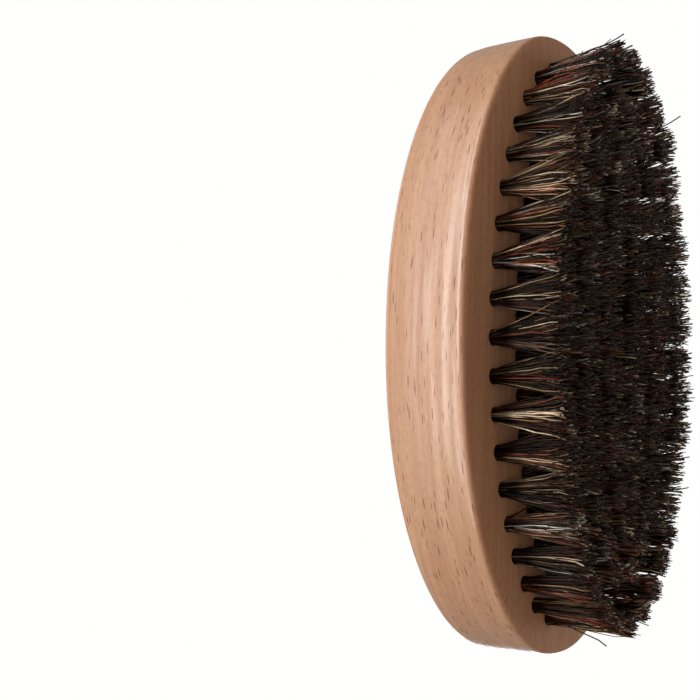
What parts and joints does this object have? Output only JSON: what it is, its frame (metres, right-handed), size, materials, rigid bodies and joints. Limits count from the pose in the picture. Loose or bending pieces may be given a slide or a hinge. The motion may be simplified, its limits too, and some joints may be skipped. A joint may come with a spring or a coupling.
{
  "type": "beard brush",
  "caption": "Oval palm-held beard brush: a solid beech block with a gently arched back, and splayed tufts of dark boar bristle trimmed level, each pinned in a blind hole by a flat wire anchor.",
  "frame": {"origin": "middle of the plane of the trimmed bristle tips, on which the brush rests", "axes": "+X along the length of the block, +Y across its width, +Z out of the wooden back, away from the bristles"},
  "size_m": [0.112, 0.0626, 0.0318],
  "materials": {
    "beech": "steamed beech, fine grain with short ray flecks, thin satin lacquer",
    "bristle": "dark boar bristle, black to brown with lighter tips, slightly glossy strands",
    "anchor_wire": "plain flat steel wire, cut ends"
  },
  "bodies": {
    "root": {"block": "beech", "tufts_outer_1": "bristle", "tufts_outer_2": "bristle", "tufts_outer_3": "bristle", "tufts_outer_4": "bristle", "tufts_outer_5": "bristle", "tufts_outer_6": "bristle", "tufts_outer_7": "bristle", "tufts_outer_8": "bristle", "tufts_outer_9": "bristle", "tufts_outer_10": "bristle", "tufts_second_1": "bristle", "tufts_second_2": "bristle", "tufts_second_3": "bristle", "tufts_second_4": "bristle", "tufts_second_5": "bristle", "tufts_second_6": "bristle", "tufts_second_7": "bristle", "tufts_third_1": "bristle", "tufts_third_2": "bristle", "tufts_third_3": "bristle", "tufts_third_4": "bristle", "tufts_third_5": "bristle", "anchors_outer_1": "anchor_wire", "anchors_outer_2": "anchor_wire", "anchors_outer_3": "anchor_wire", "anchors_outer_4": "anchor_wire", "anchors_outer_5": "anchor_wire", "anchors_outer_6": "anchor_wire", "anchors_outer_7": "anchor_wire", "anchors_outer_8": "anchor_wire", "anchors_outer_9": "anchor_wire", "anchors_outer_10": "anchor_wire", "anchors_second_1": "anchor_wire", "anchors_second_2": "anchor_wire", "anchors_second_3": "anchor_wire", "anchors_second_4": "anchor_wire", "anchors_second_5": "anchor_wire", "anchors_second_6": "anchor_wire", "anchors_second_7": "anchor_wire", "anchors_third_1": "anchor_wire", "anchors_third_2": "anchor_wire", "anchors_third_3": "anchor_wire", "anchors_third_4": "anchor_wire", "anchors_third_5": "anchor_wire"}
  },
  "joints": []
}
